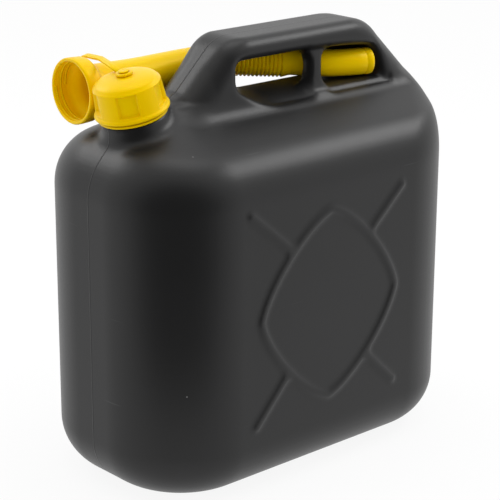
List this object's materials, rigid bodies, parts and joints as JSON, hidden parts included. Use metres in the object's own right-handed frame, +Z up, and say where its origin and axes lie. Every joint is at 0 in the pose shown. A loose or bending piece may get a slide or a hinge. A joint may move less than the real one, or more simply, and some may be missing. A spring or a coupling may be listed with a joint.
{
  "type": "jerrycan with spout hose",
  "caption": "Black blow-moulded fuel can with a hollow grip, a tethered yellow screw cap and a yellow flexible pouring spout stowed through the grip.",
  "frame": {"origin": "on the ground under the middle of the can", "axes": "+X along the can's length from the neck end to the plain end, +Z up, the mould parting plane is Y = 0 and the broad face seen in the picture faces -Y"},
  "size_m": [0.3, 0.1694, 0.3113],
  "materials": {
    "can_black": "satin, blow-moulded polyethylene",
    "cap_yellow": "smooth, injection-moulded polyethylene",
    "spout_yellow": "smooth, blow-moulded polyethylene",
    "seal_foam": "matt foam"
  },
  "bodies": {
    "root": {"can_body": "can_black", "spout_hose": "spout_yellow"},
    "strap": {"cap_strap": "cap_yellow"},
    "cap": {"screw_cap": "cap_yellow", "cap_seal": "seal_foam"}
  },
  "joints": [
    {"name": "cap_rise", "type": "slide", "parent": "root", "child": "strap", "axis": [-0.2385, 0, 0.9711], "range_m": [0, 0.009], "deforming": ["cap_strap"]},
    {"name": "cap_turn", "type": "hinge", "parent": "strap", "child": "cap", "pos_m": [-0.1104, 0, 0.2697], "axis": [-0.2385, 0, 0.9711], "range_deg": [0, 810]}
  ],
  "couplings": [
    {"joint": "cap_turn", "follows": "cap_rise", "rad_per_m": 1570.8}
  ]
}
